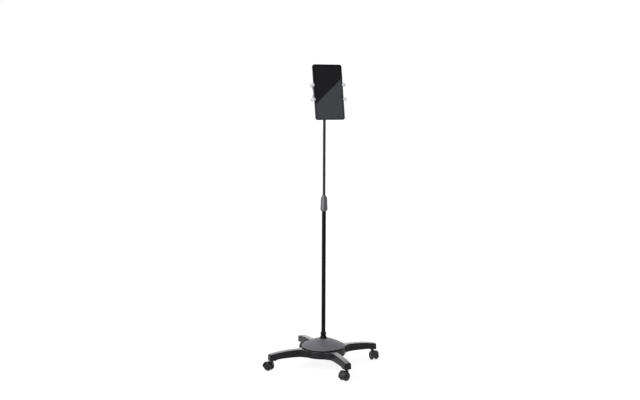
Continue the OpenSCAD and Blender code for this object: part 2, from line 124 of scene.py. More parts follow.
world = bpy.data.worlds.new("white_surround")
world.use_nodes = True
tree = world.node_tree
tree.nodes.clear()
light = add(tree, "ShaderNodeBackground", None, {"Color": linear("#ffffff"), "Strength": SURROUND_LIGHT})
white = add(tree, "ShaderNodeBackground", None, {"Color": linear("#ffffff"), "Strength": 1.0})
both = add(tree, "ShaderNodeMixShader", None,
           {0: seen_directly(tree), 1: light.outputs[0], 2: white.outputs[0]})
add(tree, "ShaderNodeOutputWorld", None, {"Surface": both.outputs[0]})
scene.world = world

# Matt white paper: its glow shows only to the camera and in reflections, and its shaded part
# keeps the stand's soft shadow.
paper, tree = new_material("white_paper_sweep")
seen = seen_directly(tree)
bounce = add(tree, "ShaderNodeBsdfDiffuse", None, {"Color": linear(FLOOR_WHITE)})
shade = add(tree, "ShaderNodeBsdfDiffuse", None, {"Color": linear(FLOOR_SHADE)})
glow = add(tree, "ShaderNodeEmission", None, {"Color": linear(FLOOR_WHITE), "Strength": FLOOR_GLOW})
shown = add(tree, "ShaderNodeAddShader", None, {0: shade.outputs[0], 1: glow.outputs[0]})
both = add(tree, "ShaderNodeMixShader", None, {0: seen, 1: bounce.outputs[0], 2: shown.outputs[0]})
add(tree, "ShaderNodeOutputMaterial", None, {"Surface": both.outputs[0]})

mesh = bpy.data.meshes.new("floor")
mesh.from_pydata([(sx * FLOOR_REACH, sy * FLOOR_REACH, 0) for sx, sy in
                  ((-1, -1), (1, -1), (1, 1), (-1, 1))], [], [(0, 1, 2, 3)])
mesh.materials.append(paper)
floor = bpy.data.objects.new("floor", mesh)
scene.collection.objects.link(floor)

for name, turn, height, spread, power in (
        ("key_light", KEY_TURN, KEY_HEIGHT, KEY_SPREAD, KEY_POWER),
        ("back_light", BACK_TURN, BACK_HEIGHT, BACK_SPREAD, BACK_POWER)):
    lamp = bpy.data.objects.new(name, bpy.data.lights.new(name, "SUN"))
    lamp.data.energy = power
    lamp.data.angle = math.radians(spread)
    a, e = math.radians(turn), math.radians(height)
    towards = Vector((math.sin(a) * math.cos(e), -math.cos(a) * math.cos(e), math.sin(e)))
    lamp.rotation_mode = "QUATERNION"
    lamp.rotation_quaternion = towards.to_track_quat("Z", "Y")
    scene.collection.objects.link(lamp)

panel = bpy.data.objects.new("side_panel", bpy.data.lights.new("side_panel", "AREA"))
panel.data.shape = "RECTANGLE"
panel.data.size, panel.data.size_y, panel.data.energy = PANEL_WIDE, PANEL_TALL, PANEL_POWER
a = math.radians(PANEL_TURN)
panel.location = (PANEL_AWAY * math.sin(a), -PANEL_AWAY * math.cos(a), PANEL_TALL / 2 + PANEL_LIFT)
panel.rotation_euler = (math.pi / 2, 0, a)
panel.visible_camera = False
scene.collection.objects.link(panel)


# Base moulding
# The star: a round hub and four hollow legs moulded in one piece of glass-filled nylon, with
# ribs below and a boss for each caster. Sizes from here on are in millimetres.
MM = 0.001
MERGE = 0.002 * MM
LEGS = 4
DECK_Z, HUB_Z, HUB_R, ROOT_X = 88.5, 53.5, 104.0, 108.0
LEG_END, LEG_HALF, ROOT_R, END_R, BASE_WALL = 276.0, 17.5, 50.0, 6.0, 3.5
ARCH_R, ARCH_X = 670.0, 148.0
UNDER_R, UNDER_X = 970.0, 183.0
BLOCK_X, BLOCK_RUN, BLOCK_Z, BLOCK_STEP = 234.0, 14.0, 50.0, 0.5
EDGE_R, RIM_R, DRAFT, LEAST_R = 5.5, 0.8, 1.0, 0.6
STEM_R, BOSS_Z, BOSS_R, BOSS_BORE, BOSS_TOP = 261.0, 50.0, 12.0, 6.52, 72.0
BOSS_LEAD, BOSS_LEAD_H, BOSS_ROOF = 2.0, 3.0, 2.4
POST_R, POST_BORE, POST_TOP, DECK_LAP = 20.0, 12.05, 111.5, 0.6
RIB_Z, RIB_TOP, RIB_T, RIB_HALF = 64.5, 87.0, 2.5, 15.0
RIB_FIRST, RIB_PITCH, RIB_COUNT = 140.0, 42.0, 3
HUB_RIB_IN, HUB_RIB_OUT, HUB_RIB_T = 19.0, 102.0, 3.0
HUB_RIB_Z, HUB_RIB_TOP, HUB_RIB_TURN = 57.5, 85.8, 45.0
CLOUD_SIZE, GLOSS_SPREAD, NOISE_LOW, NOISE_HIGH = 38.0, 0.06, 0.3, 0.7
ARCH_C = DECK_Z - math.sqrt(ARCH_R ** 2 - (ARCH_X - ROOT_X) ** 2)
UNDER_C = HUB_Z - math.sqrt(UNDER_R ** 2 - (UNDER_X - ROOT_X) ** 2)


def per_mm(size):
    """The scale of a noise whose features are about this many millimetres across."""
    return 1 / (size * MM)


def moulded(name, colour, shade, roughness, grain, bump, specular):
    """A moulded plastic: cloudy colour between two close shades, and the grain that the tool's
    spark-eroded skin leaves, which breaks the gloss and dimples the surface. The real grain is
    too fine to show, so it is drawn coarser, as many millimetres across as grain says."""
    material, tree = new_material(name)
    where = add(tree, "ShaderNodeTexCoord").outputs["Object"]
    cloud = add(tree, "ShaderNodeTexNoise", None,
                {"Vector": where, "Scale": per_mm(CLOUD_SIZE), "Detail": 3.0})
    tint = add(tree, "ShaderNodeMix", {"data_type": "RGBA"},
               {0: cloud.outputs[0], 6: linear(colour), 7: linear(shade)})
    fine = add(tree, "ShaderNodeTexNoise", None, {"Vector": where, "Scale": per_mm(grain), "Detail": 2.0})
    gloss = add(tree, "ShaderNodeMapRange", None,
                {0: fine.outputs[0], 1: NOISE_LOW, 2: NOISE_HIGH,
                 3: roughness - GLOSS_SPREAD, 4: roughness + GLOSS_SPREAD})
    dimple = add(tree, "ShaderNodeBump", None,
                 {"Height": fine.outputs[0], "Strength": bump, "Distance": grain * MM / 4})
    surface = add(tree, "ShaderNodeBsdfPrincipled", None,
                  {"Base Color": tint.outputs[2], "Roughness": gloss.outputs[0],
                   "Normal": dimple.outputs[0], "IOR": 1.5, "Specular IOR Level": specular})
    add(tree, "ShaderNodeOutputMaterial", None, {"Surface": surface.outputs[0]})
    return material


def piece(name, points, faces, body, slot, material, replaced=(), sharp=40, walled=False):
    """A finished piece from points in millimetres: doubles merged, a wall between two open rims
    if walled, faces outwards, riding on its body in place of the nodes that it stands for."""
    mesh = bpy.data.meshes.new(name)
    mesh.from_pydata([Vector(p) * MM for p in points], [], faces)
    work = bmesh.new()
    work.from_mesh(mesh)
    bmesh.ops.remove_doubles(work, verts=work.verts, dist=MERGE)
    if walled:
        bmesh.ops.bridge_loops(work, edges=[edge for edge in work.edges if edge.is_boundary])
    bmesh.ops.recalc_face_normals(work, faces=work.faces)
    work.to_mesh(mesh)
    work.free()
    return settle(name, mesh, body, material, replaced, sharp)


def settle(name, mesh, body, material, replaced=(), sharp=40):
    """A finished mesh as a piece: dressed, shaded smooth up to an angle, and riding on its body."""
    mesh.materials.clear()
    mesh.materials.append(material)
    mesh.shade_smooth()
    mesh.set_sharp_from_angle(angle=math.radians(sharp))
    made = bpy.data.objects.new(name, mesh)
    scene.collection.objects.link(made)
    even = made.modifiers.new("even_shading", "WEIGHTED_NORMAL")
    even.keep_sharp = True
    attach(made, body)
    if replaced:
        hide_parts(*replaced)
    return made


def join(*parts):
    """Several (points, faces) lists as one."""
    points, faces = [], []
    for some_points, some_faces in parts:
        first = len(points)
        points += some_points
        faces += [tuple(first + i for i in face) for face in some_faces]
    return points, faces


def skin(rings, ends=True, loop=False):
    """Faces between closed rings of points; the ends are capped, or the last ring joins the
    first."""
    count = len(rings[0])
    points = [p for ring in rings for p in ring]
    faces = []
    for k in range(len(rings) if loop else len(rings) - 1):
        a, b = k * count, (k + 1) % len(rings) * count
        faces += [(a + i, a + (i + 1) % count, b + (i + 1) % count, b + i) for i in range(count)]
    if ends and not loop:
        faces += [tuple(range(count)), tuple(range(len(points) - count, len(points)))]
    return points, faces


def rounded(corners, closed=True, step=15):
    """A line through corners (x, y, radius), each corner turned with its radius."""
    line = []
    for i, (x, y, radius) in enumerate(corners):
        here = Vector((x, y))
        if radius == 0 or (not closed and i in (0, len(corners) - 1)):
            line.append((x, y))
            continue
        before = (Vector(corners[i - 1][:2]) - here).normalized()
        after = (Vector(corners[(i + 1) % len(corners)][:2]) - here).normalized()
        turn = math.pi - before.angle(after)
        start = before * radius * math.tan(turn / 2)
        middle = (before + after).normalized() * radius / math.cos(turn / 2)
        spoke = start - middle
        sweep = turn if before.cross(after) < 0 else -turn
        parts = max(2, math.ceil(math.degrees(turn) / step))
        for k in range(parts + 1):
            c, s = math.cos(sweep * k / parts), math.sin(sweep * k / parts)
            line.append((x + middle.x + spoke.x * c - spoke.y * s,
                         y + middle.y + spoke.x * s + spoke.y * c))
    return line


def turned(line, closed=True, steps=96):
    """A line of (radius, height) points turned about Z."""
    rings = [[(r * math.cos(a), r * math.sin(a), z) for a in
              (2 * math.pi * k / steps for k in range(steps))] for r, z in line]
    return skin(rings, ends=False, loop=closed)


HUB_STEPS, ROOT_STEPS, SIDE_STEPS, BLOCK_STEPS, CORNER_STEPS, ACROSS = 8, 18, 20, 4, 6, 8
QUARTERS = ((1, 0), (0, 1), (-1, 0), (0, -1))


def leg_line(inset):
    """Half of one leg's outline from above, along +X: hub, root curve, side and end corner."""
    half, root, hub = LEG_HALF - inset, ROOT_R + inset, HUB_R - inset
    end, corner = LEG_END - inset, max(END_R - inset / 2, LEAST_R)
    fy = half + root
    fx = math.sqrt((hub + root) ** 2 - fy ** 2)
    meet = math.atan2(fy, fx)
    line = [(hub * math.cos(a), -hub * math.sin(a)) for a in
            (math.pi / 4 + (meet - math.pi / 4) * k / HUB_STEPS for k in range(HUB_STEPS))]
    line += [(fx + root * math.cos(a), -fy + root * math.sin(a)) for a in
             (math.pi - meet + (meet - math.pi / 2) * k / ROOT_STEPS for k in range(ROOT_STEPS))]
    line += [(fx + (BLOCK_X - fx) * k / SIDE_STEPS, -half) for k in range(SIDE_STEPS)]
    line += [(BLOCK_X + BLOCK_RUN * k / BLOCK_STEPS, -half) for k in range(BLOCK_STEPS)]
    level = BLOCK_X + BLOCK_RUN
    line += [(level + (end - corner - level) * k / BLOCK_STEPS, -half) for k in range(BLOCK_STEPS)]
    line += [(end - corner + corner * math.sin(a), -half + corner - corner * math.cos(a)) for a in
             (math.pi / 2 * k / CORNER_STEPS for k in range(CORNER_STEPS + 1))]
    return line


def star_ring(inset, height):
    """The star's whole outline, inset, with each point at height(x, y)."""
    low = leg_line(inset)
    (x, y), ring = low[-1], []
    whole = low + [(x, y - 2 * y * k / ACROSS) for k in range(1, ACROSS)]
    whole += [(px, -py) for px, py in reversed(low[1:])]
    for c, s in QUARTERS:
        for px, py in whole:
            wx, wy = px * c - py * s, px * s + py * c
            ring.append((wx, wy, height(wx, wy)))
    return ring


def star_sheet(inset, height, hole):
    """The surface inside that outline, ruled across each leg, with a round hole in the hub."""
    low = leg_line(inset)
    points, faces = [], []
    for c, s in QUARTERS:
        first = len(points)
        for px, py in low[HUB_STEPS:]:
            for k in range(ACROSS + 1):
                qy = py - 2 * py * k / ACROSS
                wx, wy = px * c - qy * s, px * s + qy * c
                points.append((wx, wy, height(wx, wy)))
        wide = ACROSS + 1
        for row in range(len(low) - HUB_STEPS - 1):
            a = first + row * wide
            faces += [(a + k, a + k + 1, a + wide + k + 1, a + wide + k) for k in range(ACROSS)]
        x, y = low[HUB_STEPS]
        rim = low[:HUB_STEPS] + [(x, y - 2 * y * k / ACROSS) for k in range(ACROSS + 1)]
        rim += [(px, -py) for px, py in reversed(low[:HUB_STEPS])]
        first = len(points)
        for px, py in rim:
            for far in (False, True):
                scale = hole / math.hypot(px, py) if far else 1
                wx, wy = (px * c - py * s) * scale, (px * s + py * c) * scale
                points.append((wx, wy, height(wx, wy)))
        faces += [(first + 2 * k, first + 2 * k + 1, first + 2 * k + 3, first + 2 * k + 2)
                  for k in range(len(rim) - 1)]
    return points, faces


def top_z(x, y):
    """Height of the deck, which runs out along each leg in an arch."""
    along = max(abs(x), abs(y))
    return DECK_Z if along <= ROOT_X else ARCH_C + math.sqrt(ARCH_R ** 2 - (along - ARCH_X) ** 2)


def under_z(x, y):
    """Height of the lower edge: flat at the hub, arched under the leg, down to the end block."""
    along = max(abs(x), abs(y))
    if along <= ROOT_X:
        return HUB_Z
    arch = UNDER_C + math.sqrt(UNDER_R ** 2 - (along - UNDER_X) ** 2)
    start = UNDER_C + math.sqrt(UNDER_R ** 2 - (BLOCK_X - UNDER_X) ** 2) + BLOCK_STEP
    block = max(BLOCK_Z, start + (BLOCK_Z - start) * (along - BLOCK_X) / BLOCK_RUN)
    return arch if along <= BLOCK_X else min(arch, block)


rings = [star_ring(BASE_WALL + DRAFT, lambda x, y: top_z(x, y) - BASE_WALL),
         star_ring(BASE_WALL, lambda x, y: under_z(x, y) + RIM_R)]
for a in (30, 60, 90):
    rings.append(star_ring(BASE_WALL - RIM_R + RIM_R * math.cos(math.radians(a)),
                           lambda x, y: under_z(x, y) + RIM_R - RIM_R * math.sin(math.radians(a))))
for a in (0, 30, 60, 90):
    rings.append(star_ring(RIM_R - RIM_R * math.sin(math.radians(a)),
                           lambda x, y: under_z(x, y) + RIM_R - RIM_R * math.cos(math.radians(a))))
for a in (0, 18, 36, 54, 72, 90):
    rings.append(star_ring(DRAFT + EDGE_R - EDGE_R * math.cos(math.radians(a)),
                           lambda x, y: top_z(x, y) - EDGE_R + EDGE_R * math.sin(math.radians(a))))
shell = skin(rings, ends=False)
deck = star_sheet(DRAFT + EDGE_R, top_z, POST_R - DECK_LAP)
ceiling = star_sheet(BASE_WALL + DRAFT, lambda x, y: top_z(x, y) - BASE_WALL, POST_R - DECK_LAP)
post = turned(rounded([(POST_BORE, HUB_Z, 0.6), (POST_R, HUB_Z, 0.6), (POST_R, POST_TOP, 0.8),
                       (POST_BORE, POST_TOP, 0.6)]), steps=72)
boss = turned(rounded([(BOSS_BORE, BOSS_Z, 0.4), (BOSS_R - BOSS_LEAD, BOSS_Z, 0.8),
                       (BOSS_R, BOSS_Z + BOSS_LEAD_H, 1.5), (BOSS_R, BOSS_TOP + BOSS_ROOF, 0),
                       (0, BOSS_TOP + BOSS_ROOF, 0), (0, BOSS_TOP, 0), (BOSS_BORE, BOSS_TOP, 0)]), steps=48)


def new_tree(name, sizes):
    """A Geometry Nodes tree with named inputs; returns it, its input node and the ids."""
    tree = bpy.data.node_groups.new(name, "GeometryNodeTree")
    tree.interface.new_socket(name="Geometry", in_out="INPUT", socket_type="NodeSocketGeometry")
    tree.interface.new_socket(name="Geometry", in_out="OUTPUT", socket_type="NodeSocketGeometry")
    ids = {label: tree.interface.new_socket(name=label, in_out="INPUT", socket_type=kind).identifier
           for label, kind in sizes.items()}
    return tree, add(tree, "NodeGroupInput"), ids


def end_tree(tree, geometry, material):
    """Ends a tree: copies made real and dressed in a material."""
    real = add(tree, "GeometryNodeRealizeInstances", None, {0: geometry})
    dressed = add(tree, "GeometryNodeSetMaterial", None,
                  {"Geometry": real.outputs[0], "Material": material})
    add(tree, "NodeGroupOutput", None, {0: dressed.outputs[0]})


def evenly_round(tree, copies, first):
    """The turn of each of some copies set evenly round the mast from a first angle."""
    number = add(tree, "GeometryNodeInputIndex")
    share = add(tree, "ShaderNodeMath", {"operation": "DIVIDE"}, {0: 2 * math.pi, 1: copies})
    angle = add(tree, "ShaderNodeMath", {"operation": "MULTIPLY_ADD"},
                {0: number.outputs[0], 1: share.outputs[0], 2: first})
    return add(tree, "ShaderNodeCombineXYZ", None, {"Z": angle.outputs[0]}).outputs[0]


def grow(name, tree, ids, values, seed=((), ())):
    """Runs a tree over a seed mesh in millimetres and gives the plain mesh that comes out."""
    mesh = bpy.data.meshes.new(name + "_seed")
    mesh.from_pydata([Vector(p) * MM for p in seed[0]], [], seed[1])
    host = bpy.data.objects.new(name + "_seed", mesh)
    scene.collection.objects.link(host)
    rule = host.modifiers.new("rule", "NODES")
    rule.node_group = tree
    for label, value in values.items():
        rule[ids[label]] = value
    graph = bpy.context.evaluated_depsgraph_get()
    out = bpy.data.meshes.new_from_object(host.evaluated_get(graph), depsgraph=graph)
    bpy.data.objects.remove(host)
    work = bmesh.new()
    work.from_mesh(out)
    bmesh.ops.remove_doubles(work, verts=work.verts, dist=MERGE)
    bmesh.ops.recalc_face_normals(work, faces=work.faces)
    work.to_mesh(out)
    work.free()
    return out


# A ring of copies about the mast: one for each leg.
ring_tree, given, ring_ids = new_tree("copies_round_the_mast", {
    "Copies": "NodeSocketInt", "Radius": "NodeSocketFloat", "Material": "NodeSocketMaterial"})
spots = add(ring_tree, "GeometryNodeMeshCircle", None,
            {"Vertices": given.outputs["Copies"], "Radius": given.outputs["Radius"]})
placed = add(ring_tree, "GeometryNodeInstanceOnPoints", None,
             {"Points": spots.outputs[0], "Instance": given.outputs["Geometry"],
              "Rotation": evenly_round(ring_tree, given.outputs["Copies"], 0.0)})
end_tree(ring_tree, placed.outputs[0], given.outputs["Material"])

# Ribs across each leg, stepping down with its arch, or along the hub's diagonals. An arch falls
# by half the square of the way past its crest over its radius.
rib_tree, given, rib_ids = new_tree("ribs_under_the_legs", {
    "Ribs": "NodeSocketInt", "First": "NodeSocketFloat", "Pitch": "NodeSocketFloat",
    "Size": "NodeSocketVector", "Height": "NodeSocketFloat", "Crest": "NodeSocketFloat",
    "Arch radius": "NodeSocketFloat", "Copies": "NodeSocketInt", "Turn": "NodeSocketFloat",
    "Material": "NodeSocketMaterial"})
start = add(rib_tree, "ShaderNodeCombineXYZ", None,
            {"X": given.outputs["First"], "Z": given.outputs["Height"]})
pitch = add(rib_tree, "ShaderNodeCombineXYZ", None, {"X": given.outputs["Pitch"]})
row = add(rib_tree, "GeometryNodeMeshLine", None,
          {"Count": given.outputs["Ribs"], "Start Location": start.outputs[0], "Offset": pitch.outputs[0]})
spot = add(rib_tree, "ShaderNodeSeparateXYZ", None,
           {0: add(rib_tree, "GeometryNodeInputPosition").outputs[0]})
past = add(rib_tree, "ShaderNodeMath", {"operation": "SUBTRACT"},
           {0: spot.outputs["X"], 1: given.outputs["Crest"]})
square = add(rib_tree, "ShaderNodeMath", {"operation": "MULTIPLY"},
             {0: past.outputs[0], 1: past.outputs[0]})
fall = add(rib_tree, "ShaderNodeMath", {"operation": "DIVIDE"},
           {0: square.outputs[0], 1: given.outputs["Arch radius"]})
drop = add(rib_tree, "ShaderNodeMath", {"operation": "MULTIPLY"}, {0: fall.outputs[0], 1: -0.5})
lower = add(rib_tree, "ShaderNodeCombineXYZ", None, {"Z": drop.outputs[0]})
arched = add(rib_tree, "GeometryNodeSetPosition", None,
             {"Geometry": row.outputs[0], "Offset": lower.outputs[0]})
rib = add(rib_tree, "GeometryNodeMeshCube", None, {"Size": given.outputs["Size"]})
ribs = add(rib_tree, "GeometryNodeInstanceOnPoints", None,
           {"Points": arched.outputs[0], "Instance": rib.outputs[0]})
one = add(rib_tree, "GeometryNodeMeshCircle", None, {"Vertices": given.outputs["Copies"], "Radius": 0.0})
placed = add(rib_tree, "GeometryNodeInstanceOnPoints", None,
             {"Points": one.outputs[0], "Instance": ribs.outputs[0],
              "Rotation": evenly_round(rib_tree, given.outputs["Copies"], given.outputs["Turn"])})
end_tree(rib_tree, placed.outputs[0], given.outputs["Material"])

# Glass-filled nylon, moulded black: a satin skin that goes pale where the surround glances off it.
base_plastic = moulded("glass_filled_nylon_black", "#0e0e12", "#141418", 0.37, 2.2, 0.2, 0.2)
bosses = grow("bosses", ring_tree, ring_ids,
              {"Copies": LEGS, "Radius": STEM_R * MM, "Material": base_plastic}, boss)
leg_ribs = grow("leg_ribs", rib_tree, rib_ids, {
    "Ribs": RIB_COUNT, "First": RIB_FIRST * MM, "Pitch": RIB_PITCH * MM,
    "Size": (RIB_T * MM, 2 * RIB_HALF * MM, (RIB_TOP - RIB_Z) * MM),
    "Height": (RIB_TOP + RIB_Z) / 2 * MM, "Crest": ARCH_X * MM, "Arch radius": ARCH_R * MM,
    "Copies": LEGS, "Turn": 0.0, "Material": base_plastic})
hub_rib_middle = (HUB_RIB_IN + HUB_RIB_OUT) / 2 * MM
hub_ribs = grow("hub_ribs", rib_tree, rib_ids, {
    "Ribs": 1, "First": hub_rib_middle, "Pitch": 0.0,
    "Size": ((HUB_RIB_OUT - HUB_RIB_IN) * MM, HUB_RIB_T * MM, (HUB_RIB_TOP - HUB_RIB_Z) * MM),
    "Height": (HUB_RIB_TOP + HUB_RIB_Z) / 2 * MM, "Crest": hub_rib_middle,
    "Arch radius": ARCH_R * MM, "Copies": LEGS, "Turn": math.radians(HUB_RIB_TURN),
    "Material": base_plastic})


def mesh_parts(mesh):
    """A mesh's points in millimetres and its faces."""
    return [tuple(v.co / MM) for v in mesh.vertices], [tuple(f.vertices) for f in mesh.polygons]


star = join(shell, deck, ceiling, post, *map(mesh_parts, (bosses, leg_ribs, hub_ribs)))
piece("base_moulding", *star, "base", "base_plastic", base_plastic, ["base_star"], sharp=32,
      walled=True)


# Caster sockets and swivel pins
# Plated steel sleeves pressed into the leg bosses, and in each a turned black pin with a
# shoulder that stands on the caster.
PIN_R, PIN_Z, PIN_TOP, SHOULDER_R, SHOULDER_Z, SHOULDER_T = 4.5, 32.0, 70.0, 7.5, 42.3, 1.6
MARK_SIZE, MARK_SPREAD = 1.2, 0.07
# In degrees: edges shade smooth up to the first and are softened from the second, and faces
# within the third of each other become one.
SMOOTH_UP_TO, SOFTEN_FROM, FLAT_WITHIN = 32.0, 40.0, 0.5


def metal(name, colour, shade, roughness):
    """A bare or plated metal: full reflection, with fine marks that vary its gloss. The marks
    are drawn coarser than they are, so that they show."""
    material, tree = new_material(name)
    where = add(tree, "ShaderNodeTexCoord").outputs["Object"]
    marks = add(tree, "ShaderNodeTexNoise", None,
                {"Vector": where, "Scale": per_mm(MARK_SIZE), "Detail": 3.0})
    tint = add(tree, "ShaderNodeMix", {"data_type": "RGBA"},
               {0: marks.outputs[0], 6: linear(colour), 7: linear(shade)})
    gloss = add(tree, "ShaderNodeMapRange", None,
                {0: marks.outputs[0], 1: NOISE_LOW, 2: NOISE_HIGH,
                 3: roughness - MARK_SPREAD, 4: roughness + MARK_SPREAD})
    surface = add(tree, "ShaderNodeBsdfPrincipled", None,
                  {"Base Color": tint.outputs[2], "Roughness": gloss.outputs[0], "Metallic": 1.0})
    add(tree, "ShaderNodeOutputMaterial", None, {"Surface": surface.outputs[0]})
    return material


# Zinc plate: a pale, slightly cloudy metal.
plated_steel = metal("zinc_plated_steel", "#b9babd", "#a3a4a8", 0.34)
# Oiled black steel: dark, with a soft metal shine.
black_pin = metal("blackened_steel", "#26262a", "#1c1c1f", 0.36)


def dress(node, material, edge=0.0):
    """A node of the frame that stays: merged points, edges softened by edge, and a finish."""
    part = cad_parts[node]
    part.data.materials.clear()
    part.data.materials.append(material)
    weld = part.modifiers.new("merge", "WELD")
    weld.merge_threshold = MERGE
    flat = part.modifiers.new("flat_faces", "DECIMATE")
    flat.decimate_type, flat.angle_limit = "DISSOLVE", math.radians(FLAT_WITHIN)
    if edge:
        soft = part.modifiers.new("soft_edges", "BEVEL")
        soft.width, soft.segments, soft.limit_method = edge * MM, 2, "ANGLE"
        soft.angle_limit, soft.use_clamp_overlap = math.radians(SOFTEN_FROM), True
    part.data.shade_smooth()
    part.data.set_sharp_from_angle(angle=math.radians(SMOOTH_UP_TO))
    even = part.modifiers.new("even_shading", "WEIGHTED_NORMAL")
    even.keep_sharp = True


dress("caster_sockets", plated_steel)
pin = turned(rounded([(0, PIN_Z, 0), (PIN_R, PIN_Z, 0.6), (PIN_R, SHOULDER_Z, 0),
                      (SHOULDER_R, SHOULDER_Z, 0.4), (SHOULDER_R, SHOULDER_Z + SHOULDER_T, 0.4),
                      (PIN_R, SHOULDER_Z + SHOULDER_T, 0),
                      (PIN_R, PIN_TOP, 0.8), (0, PIN_TOP, 0)], closed=False), closed=False, steps=40)
pins = grow("swivel_pins", ring_tree, ring_ids,
            {"Copies": LEGS, "Radius": STEM_R * MM, "Material": black_pin}, pin)
settle("swivel_pins", pins, "base", black_pin, ["caster_stems"])


# Casters
# Four twin-wheel casters in black nylon: a hood with a fender over the treads, a steel axle
# pressed through its web, and a moulded wheel on each end.
WHEEL_R, WHEEL_W, WHEEL_GAP, TRAIL = 21.0, 11.0, 13.0, 16.0
AXLE_BORE_R, AXLE_BORE_L, WHEEL_HUB_R, HOLLOW_R, HOLLOW_L = 3.05, 9.5, 7.0, 16.0, 6.0
TREAD_IN, TREAD_IN_L, TREAD_OUT, TREAD_OUT_L = 1.8, 2.2, 2.8, 4.4
DISH, DISH_HUB_R, DISH_RIM_R, DISH_SIDE, BUTTON_R = 3.2, 8.4, 15.2, 1.0, 4.0
LEG_TURN = {"right": 0, "back": 90, "left": 180, "front": 270}
CASTER_TURN = {"right": 266, "back": 26, "left": 125, "front": 206}

# Moulded nylon, semi-matt black, scuffed a little by handling.
caster_black = moulded("moulded_nylon_caster_black", "#0b0b0c", "#101012", 0.3, 1.8, 0.2, 0.4)
# Harder nylon for the treads, a touch lighter where it has been polished by rolling.
wheel_black = moulded("moulded_nylon_wheel_black", "#0c0c0d", "#121214", 0.3, 1.6, 0.2, 0.3)

# The wheel's section, from its blind axle hole round the dished outer face to the tread.
wheel_line = rounded([
    (0, AXLE_BORE_L, 0), (AXLE_BORE_R, AXLE_BORE_L, 0.3), (AXLE_BORE_R, 0, 0.3), (WHEEL_HUB_R, 0, 0.5),
    (WHEEL_HUB_R, HOLLOW_L, 1.0), (HOLLOW_R, HOLLOW_L, 1.5), (HOLLOW_R, 0, 0.6),
    (WHEEL_R - TREAD_IN, 0, 1.8), (WHEEL_R, TREAD_IN_L, 2.0), (WHEEL_R, WHEEL_W - TREAD_OUT_L, 4.0),
    (WHEEL_R - TREAD_OUT, WHEEL_W, 2.4), (DISH_RIM_R + DISH_SIDE, WHEEL_W, 0.6),
    (DISH_RIM_R, WHEEL_W - DISH, 0.8), (DISH_HUB_R, WHEEL_W - DISH, 0.8),
    (DISH_HUB_R - DISH_SIDE, WHEEL_W, 0.6), (BUTTON_R, WHEEL_W, 1.0), (0, WHEEL_W, 0)],
    closed=False, step=18)
wheel_form = turned(wheel_line, closed=False, steps=72)


def at_caster(name, points):
    """Points beside a caster's own axle, put where that caster stands."""
    leg, turn = math.radians(LEG_TURN[name]), math.radians(CASTER_TURN[name])
    c, s = math.cos(turn), math.sin(turn)
    return [(STEM_R * math.cos(leg) + x * c - y * s, STEM_R * math.sin(leg) + x * s + y * c, z)
            for x, y, z in points]


for name in LEG_TURN:
    dress("hood_" + name, caster_black, 0.7)
    dress("axle_" + name, plated_steel)
    for hand, out in (("a", 1), ("b", -1)):
        spots = [(TRAIL + x, out * (WHEEL_GAP / 2 + z), WHEEL_R + y) for x, y, z in wheel_form[0]]
        piece(f"caster_wheel_{name}_{hand}", at_caster(name, spots), wheel_form[1],
              f"wheel_{name}_{hand}", "wheel_black", wheel_black, [f"wheel_{name}_{hand}"], sharp=50)


# Dome cover
# A shallow dome in charcoal ABS over the hub, standing on a drawn-in skirt so that its rim
# floats above the hub and a dark line shows under it.
DOME_R, DOME_RIM_Z, DOME_RIM, DOME_T, DOME_HOLE, CROWN = 103.0, 92.0, 3.0, 3.0, 13.03, 90.0
SKIRT_R, FLANGE_R, RIM_RUN = 83.0, 16.525, 2.0
SLOPE_STEPS, EAVE_STEPS, INNER_STEPS = 28, 6, 20
SEAT_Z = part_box("dome_cover")[1][2] / MM

# ABS, spark-textured charcoal with a trace of violet: a dense satin that never mirrors.
dome_plastic = moulded("abs_charcoal_spark_textured", "#5a595f", "#636268", 0.6, 2.6, 0.3, 0.1)


def dome_at(radius, depth=0.0):
    """Height of the dome at a radius: a cone with a rounded crown, from seat to rim."""
    start = math.hypot(FLANGE_R, CROWN)
    fall = (math.hypot(radius, CROWN) - start) / (math.hypot(DOME_R, CROWN) - start)
    return SEAT_Z - (SEAT_Z - DOME_RIM_Z - DOME_RIM) * fall - depth


line = [(DOME_HOLE, SEAT_Z), (FLANGE_R, SEAT_Z)]
line += [(r, dome_at(r)) for r in
         (FLANGE_R + (DOME_R - RIM_RUN - FLANGE_R) * k / SLOPE_STEPS for k in range(1, SLOPE_STEPS + 1))]
line += rounded([(DOME_R - RIM_RUN, dome_at(DOME_R - RIM_RUN), 0), (DOME_R, DOME_RIM_Z + DOME_RIM, 1.4),
                 (DOME_R, DOME_RIM_Z, 0.5), (DOME_R - DOME_T, DOME_RIM_Z, 0)], closed=False)[1:]
line += [(r, dome_at(r, DOME_T)) for r in
         (DOME_R - DOME_T + (SKIRT_R - DOME_R + DOME_T) * k / EAVE_STEPS for k in range(EAVE_STEPS + 1))]
line += [(SKIRT_R, DECK_Z), (SKIRT_R - DOME_T, DECK_Z)]
line += [(r, dome_at(r, DOME_T)) for r in
         (SKIRT_R - DOME_T + (DOME_HOLE - SKIRT_R + DOME_T) * k / INNER_STEPS
          for k in range(INNER_STEPS + 1))]
dome = turned(line, steps=144)
piece("dome_shell", *dome, "base", "dome_plastic", dome_plastic, ["dome_cover"])


# Mast foot
# The turned socket that the mast stands in: a flange on the dome, a waist and a rounded bead,
# in polished black, drawn down by a plated bolt and washer under the hub.
BEAD_R, WAIST_R, POST_FOOT_R, POST_FOOT_Z, TUBE_R, TUBE_Z = 13.525, 12.7, 12.025, 62.5, 9.525, 92.0
FLANGE_H, WAIST_LOW, WAIST_HIGH, BEAD_LOW, FOOT_H = 5.4, 11.5, 18.5, 22.5, 31.5
BOLT_HOLE_R, TUBE_FIT = 4.02, 0.02

